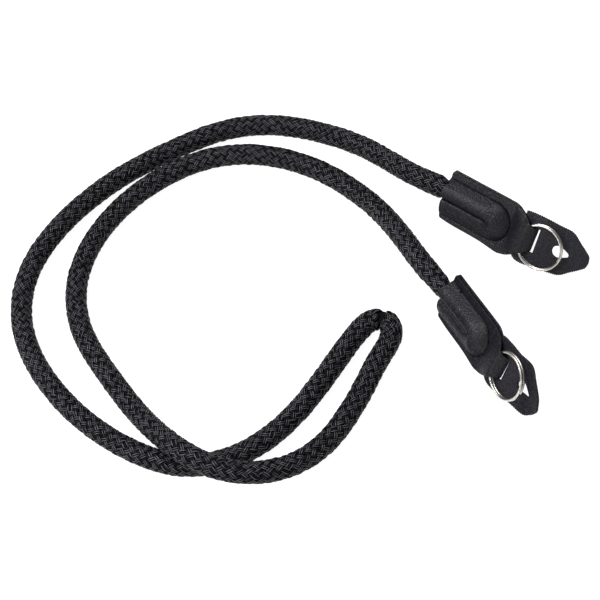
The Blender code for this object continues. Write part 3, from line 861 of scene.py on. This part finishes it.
def guard_middle(s, v, pose):
    """Flat to the slit, then bent down and up again, twisted, swayed, its high edge curled."""
    share = smooth_step(s, GUARD_BEND_FROM, GUARD_TIP)
    turn = math.radians(pose.twist) * share
    lift = pose.curl * share * (np.maximum(v, 0.0) / GUARD_CURL_V) ** 2
    bend = math.radians(pose.bend)
    bend_run = bend * GUARD_BEND_RADIUS
    run = np.maximum(s - GUARD_BEND_FROM, 0.0)
    down = np.minimum(run, bend_run)
    rest = run - down
    rise = -math.radians(pose.rise) * rest / (GUARD_TIP - GUARD_BEND_FROM - bend_run)
    u_bend, drop_bend = arc_step(down, 0.0, down / GUARD_BEND_RADIUS)
    u_rest, drop_rest = arc_step(rest, bend, rise)
    n = GUARD_N - drop_bend - drop_rest + lift + v * np.sin(turn)
    u = np.minimum(s, GUARD_BEND_FROM) + u_bend + u_rest
    return np.stack([u, v * np.cos(turn) + pose.sway * share, n], axis=-1)


def teeth(low, high, s):
    """Depth of the saw-toothed cut along both edges."""
    depths = []
    for edge in (low, high):
        along = lengths_along(np.stack([s, edge], axis=1))
        tooth = np.abs(np.sin(math.pi * along / TOOTH)) - TOOTH_MEAN
        depths.append(TOOTH_DEPTH * tooth - GUARD_WIDER)
    return depths


def cutter(name, outline, matrix):
    """Prism on an outline of (u, v) points that runs right through the guard."""
    count = len(outline)
    points = [(u, v, n) for n in CUTTER_N for u, v in outline]
    sides = [(i, (i + 1) % count, count + (i + 1) % count, count + i) for i in range(count)]
    caps = [tuple(reversed(range(count))), tuple(range(count, 2 * count))]
    mesh = new_mesh(name, points, sides + caps)
    mesh.transform(matrix)
    return new_object(name, mesh)


def arc_points(centre, radius, start, sweep, steps):
    angles = start + np.linspace(0, sweep, steps)
    return np.stack([centre + radius * np.cos(angles), radius * np.sin(angles)], axis=1)


def guard_holes(pose, slide):
    """Outlines of the slit and of the teardrop hole, which runs to a small round point."""
    slit = [(SLIT_FROM, -SLIT_HALF), (SLIT_TO + SLIT_TAPER, -SLIT_HALF),
            (SLIT_TO - SLIT_TAPER, SLIT_HALF), (SLIT_FROM, SLIT_HALF)]
    slit = [(u + slide, v) for u, v in slit]
    reach = HOLE_POINT - HOLE_CENTRE
    tangent = math.acos(HOLE_RADIUS / reach)
    point_centre = reach * (1 - HOLE_POINT_RADIUS / HOLE_RADIUS)
    outline = np.concatenate([
        arc_points(0.0, HOLE_RADIUS, tangent, 2 * math.pi - 2 * tangent, 33),
        arc_points(point_centre, HOLE_POINT_RADIUS, -tangent, 2 * tangent, 9),
    ])
    cos, sin = math.cos(math.radians(pose.hole_turn)), math.sin(math.radians(pose.hole_turn))
    turned = outline @ np.array([[cos, sin], [-sin, cos]])
    v = HOLE_V + pose.sway * smooth_step(HOLE_CENTRE, GUARD_BEND_FROM, GUARD_TIP)
    return slit, turned + np.array([HOLE_CENTRE, v])


def guard_piece(end, material):
    u = np.linspace(GUARD_EDGES_MM[0][0] * MM, GUARD_TIP, GUARD_STATIONS)
    s = u - end.guard.blunt * smooth_step(u, GUARD_BLUNT_FROM, GUARD_TIP)
    to_tip = np.clip((u - GUARD_SPREAD_TO) / (GUARD_TIP - GUARD_SPREAD_TO), 0.0, 1.0)
    spread = end.guard.spread * smooth_step(u, GUARD_SPREAD_FROM, GUARD_SPREAD_TO) * np.sqrt(
        1 - to_tip ** 3)
    low, high = edge_lines(GUARD_EDGES_MM, u)
    low, high = low - spread, high + spread
    low_teeth, high_teeth = teeth(low, high, s)
    low, high = low + low_teeth, high - high_teeth
    shares = across_shares(GUARD_COLUMNS, GUARD_CROWDED)
    v, from_side = across(shares, low, high)
    middle = guard_middle(s[:, None] + 0 * shares, v, end.guard)
    from_ends = np.minimum(s - s[0], s[-1] - s)[:, None] + 0 * shares
    thick = (GUARD_LEATHER * rounded(from_side, GUARD_LEATHER / 5)
             * rounded(from_ends, GUARD_LEATHER / 3))
    matrix = end_matrix(end)
    name = "flap_" + end.suffix
    piece = leather_sheet(name, to_world(matrix, middle), thick, material)
    for label, outline in zip(("slit_", "hole_"), guard_holes(end.guard, end.slide)):
        cut = cutter(label + end.suffix, outline, matrix)
        modifier = piece.modifiers.new(label + "cut", "BOOLEAN")
        modifier.operation = "DIFFERENCE"
        modifier.solver = "EXACT"
        modifier.object = cut
    graph = bpy.context.evaluated_depsgraph_get()
    cut_mesh = bpy.data.meshes.new_from_object(piece.evaluated_get(graph))
    for modifier in list(piece.modifiers):
        bpy.data.objects.remove(modifier.object)
        piece.modifiers.remove(modifier)
    piece.data = cut_mesh
    cut_mesh.set_sharp_from_angle(angle=math.radians(50))
    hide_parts("guard_flap_" + end.suffix)


# ---- split ring

def ring_piece(end, material):
    """Two flat turns of wire, with one short crossing from the lower to the upper turn."""
    start = math.radians(end.ring.wire_end)
    sweep = 4 * math.pi - RING_END_GAP
    turned = np.linspace(0, sweep, RING_STATIONS)
    crossing_from = 2 * math.pi - RING_CROSSING
    level = smooth_step(turned, crossing_from, 2 * math.pi) - 0.5
    angle = start + turned
    middle = np.stack([RING_RADIUS * np.cos(angle), RING_RADIUS * np.sin(angle),
                       RING_PITCH * level], axis=1)
    outward = np.stack([np.cos(angle), np.sin(angle), 0 * angle], axis=1)
    around = np.arange(RING_SIDES + 1) * 2 * math.pi / RING_SIDES
    squared = (np.abs(np.cos(around)) ** 3 + np.abs(np.sin(around)) ** 3) ** (-1 / 3)
    from_end = np.minimum(turned, sweep - turned) * RING_RADIUS
    radius = RING_WIRE / 2 * squared * rounded(from_end, RING_END_ROUND)[:, None]
    points = points_round(middle[:, None], outward[:, None], UP, around, radius)
    lean = math.radians(end.ring.lean)
    place = Matrix.Translation((
        RING_NEAR_ARC + end.ring.u + RING_RADIUS * math.cos(lean),
        end.ring.v,
        RING_N - RING_RADIUS * math.sin(lean),
    )) @ Matrix.Rotation(lean, 4, "Y")
    world = to_world(end_matrix(end) @ place, points)
    faces = grid_faces(*world.shape[:2]).tolist()
    last = world.shape[0] * world.shape[1]
    width = world.shape[1]
    faces.append(list(range(width - 1)))
    faces.append(list(range(last - 1, last - width, -1)))
    piece = new_piece("key_ring_" + end.suffix, world, faces, material)
    piece.data.set_sharp_from_angle(angle=math.radians(60))
    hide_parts("split_ring_" + end.suffix)


# ---- stage

def make_camera():
    data = bpy.data.cameras.new("photo_camera")
    data.sensor_width = 36.0
    data.lens = CAMERA_LENS
    data.clip_start = 0.01
    camera = new_object("photo_camera", data)
    tilt = Matrix.Rotation(math.pi / 2 - CAMERA_ELEVATION, 4, "X")
    roll = Matrix.Rotation(-CAMERA_ROLL, 4, "Z")
    camera.matrix_world = Matrix.Translation(CAMERA_PLACE) @ tilt @ roll
    bpy.context.scene.camera = camera


def area_light(lamp, key_power):
    data = bpy.data.lights.new(lamp.name, "AREA")
    data.shape = "RECTANGLE"
    data.size, data.size_y = lamp.size
    data.energy = lamp.share * key_power
    light = new_object(lamp.name, data)
    light.location = lamp.place
    way = Vector(LAMP_AIM) - Vector(lamp.place)
    light.rotation_euler = way.to_track_quat("-Z", "Y").to_euler()


def make_world(strength):
    """A dim studio that is brighter overhead."""
    world = bpy.data.worlds.new("studio")
    world.use_nodes = True
    tree = world.node_tree
    background = tree.nodes["Background"]
    background.inputs["Strength"].default_value = strength
    way = add_node(tree, "TexCoord")
    split = add_node(tree, "SeparateXYZ", [(way.outputs["Generated"], "Vector")])
    shade = colour_ramp(tree, split.outputs["Z"], (0.1, (0.3, 0.3, 0.3, 1.0)),
                        (0.9, (1.0, 1.0, 1.0, 1.0)))
    tree.links.new(shade, background.inputs["Color"])
    bpy.context.scene.world = world


def make_table(material):
    corners = ((-1, -1), (1, -1), (1, 1), (-1, 1))
    mesh = new_mesh("table", [(x * TABLE_REACH, y * TABLE_REACH, 0) for x, y in corners],
                    [(0, 1, 2, 3)])
    mesh.materials.append(material)
    table = new_object("table", mesh)
    table.visible_diffuse = False


# ---- what a user can change

class StrapRope(bpy.types.PropertyGroup):
    diameter: bpy.props.FloatProperty(
        name="Diameter", description="Diameter over the braid", default=8.0 * MM, unit="LENGTH")
    colour: bpy.props.FloatVectorProperty(
        name="Yarn colour", description="Dyed yarn", subtype="COLOR", default=linear("#17171a"))


class StrapLeather(bpy.types.PropertyGroup):
    tab_colour: bpy.props.FloatVectorProperty(
        name="Tab colour", description="Grained tab leather", subtype="COLOR",
        default=linear("#1f1f25"))
    guard_colour: bpy.props.FloatVectorProperty(
        name="Guard colour", description="Matte flap leather", subtype="COLOR",
        default=linear("#25252c"))
    grain: bpy.props.FloatProperty(
        name="Grain", description="Width of one pebble, drawn coarse so that it shows",
        default=0.85 * MM, unit="LENGTH")
    thread_colour: bpy.props.FloatVectorProperty(
        name="Thread colour", description="Sewing thread", subtype="COLOR",
        default=linear("#0b0b0c"))


class StrapRing(bpy.types.PropertyGroup):
    colour: bpy.props.FloatVectorProperty(
        name="Plating colour", description="Nickel plate", subtype="COLOR",
        default=linear("#d8d4cd"))


class StrapStage(bpy.types.PropertyGroup):
    table_colour: bpy.props.FloatVectorProperty(
        name="Table colour", description="White acrylic", subtype="COLOR", default=linear("#9a9a9a"))
    table_glow: bpy.props.FloatProperty(
        name="Table glow", description="Light from under the table", default=0.95)
    sky: bpy.props.FloatProperty(
        name="Sky", description="Strength of the dim studio round the table", default=0.3)
    key_power: bpy.props.FloatProperty(
        name="Key light", description="Power of the softbox overhead", default=12.0, unit="POWER")


# ---- operators

class STRAP_OT_stage(bpy.types.Operator):
    """Adds the camera, the table and the studio lights"""
    bl_idname = "strap.stage"
    bl_label = "Stage"

    def execute(self, context):
        stage = context.scene.strap_stage
        context.scene.view_settings.view_transform = "Standard"
        make_camera()
        make_world(stage.sky)
        make_table(table_material(tuple(stage.table_colour), stage.table_glow))
        for lamp in LAMPS:
            area_light(lamp, stage.key_power)
        return {"FINISHED"}


class STRAP_OT_rope(bpy.types.Operator):
    """Adds the braided rope: its core and the yarns of both slants"""
    bl_idname = "strap.rope"
    bl_label = "Braided rope"

    def execute(self, context):
        rope = context.scene.strap_rope
        frames = rope_frames(rope.diameter)
        # Core darker than the yarns: partly its own colour, partly painted shade in the gaps between
        # them.
        core = core_piece(frames, rope.diameter, core_material(linear("#0b0b0c")))
        yarn = yarn_material(tuple(rope.colour))
        braid = [
            braid_piece("braid_%s_%s" % (way, half), frames, rope.diameter, slant, first, yarn)
            for way, slant in (("left", -1), ("right", 1))
            for half, first in (("a", True), ("b", False))
        ]
        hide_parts("rope")
        return {"FINISHED"}


class STRAP_OT_tabs(bpy.types.Operator):
    """Adds the folded leather tab at each end, with its seam"""
    bl_idname = "strap.tabs"
    bl_label = "Leather tabs"

    def execute(self, context):
        leather = context.scene.strap_leather
        grained = leather_material("pebbled_pu_leather", tuple(leather.tab_colour), leather.grain,
                                   grain_height=0.13 * MM, roughness=0.34, specular=0.29)
        thread = thread_material(tuple(leather.thread_colour))
        for end in ENDS:
            tab_piece(end, grained)
            stitch_piece(end, thread)
        return {"FINISHED"}


class STRAP_OT_guards(bpy.types.Operator):
    """Adds the leather guard flap behind each ring"""
    bl_idname = "strap.guards"
    bl_label = "Guard flaps"

    def execute(self, context):
        leather = context.scene.strap_leather
        matte = leather_material("matte_split_leather", tuple(leather.guard_colour),
                                 0.75 * leather.grain, grain_height=0.1 * MM, roughness=0.46,
                                 specular=0.28)
        for end in ENDS:
            guard_piece(end, matte)
        return {"FINISHED"}


class STRAP_OT_rings(bpy.types.Operator):
    """Adds the split ring at each end"""
    bl_idname = "strap.rings"
    bl_label = "Split rings"

    def execute(self, context):
        nickel = nickel_material(tuple(context.scene.strap_ring.colour))
        for end in ENDS:
            ring_piece(end, nickel)
        return {"FINISHED"}


OPERATORS = (STRAP_OT_stage, STRAP_OT_rope, STRAP_OT_tabs, STRAP_OT_guards, STRAP_OT_rings)
GROUPS = (
    ("strap_rope", StrapRope),
    ("strap_leather", StrapLeather),
    ("strap_ring", StrapRing),
    ("strap_stage", StrapStage),
)


class STRAP_PT_maker(bpy.types.Panel):
    """Lists the strap's sizes, colours and parts"""
    bl_idname = "STRAP_PT_maker"
    bl_label = "Camera neck strap"
    bl_space_type = "VIEW_3D"
    bl_region_type = "UI"
    bl_category = "Strap"

    def draw(self, context):
        for name, group in GROUPS:
            box = self.layout.box()
            for setting in group.__annotations__:
                box.prop(getattr(context.scene, name), setting)
        for operator in OPERATORS:
            self.layout.operator(operator.bl_idname)


def register():
    for name, group in GROUPS:
        bpy.utils.register_class(group)
        setattr(bpy.types.Scene, name, bpy.props.PointerProperty(type=group))
    for cls in (*OPERATORS, STRAP_PT_maker):
        bpy.utils.register_class(cls)


def unregister():
    for cls in reversed((*OPERATORS, STRAP_PT_maker)):
        bpy.utils.unregister_class(cls)
    for name, group in reversed(GROUPS):
        delattr(bpy.types.Scene, name)
        bpy.utils.unregister_class(group)


def main():
    register()
    bpy.ops.strap.stage()
    bpy.ops.strap.rope()
    bpy.ops.strap.tabs()
    bpy.ops.strap.guards()
    bpy.ops.strap.rings()


if __name__ == "__main__":
    main()
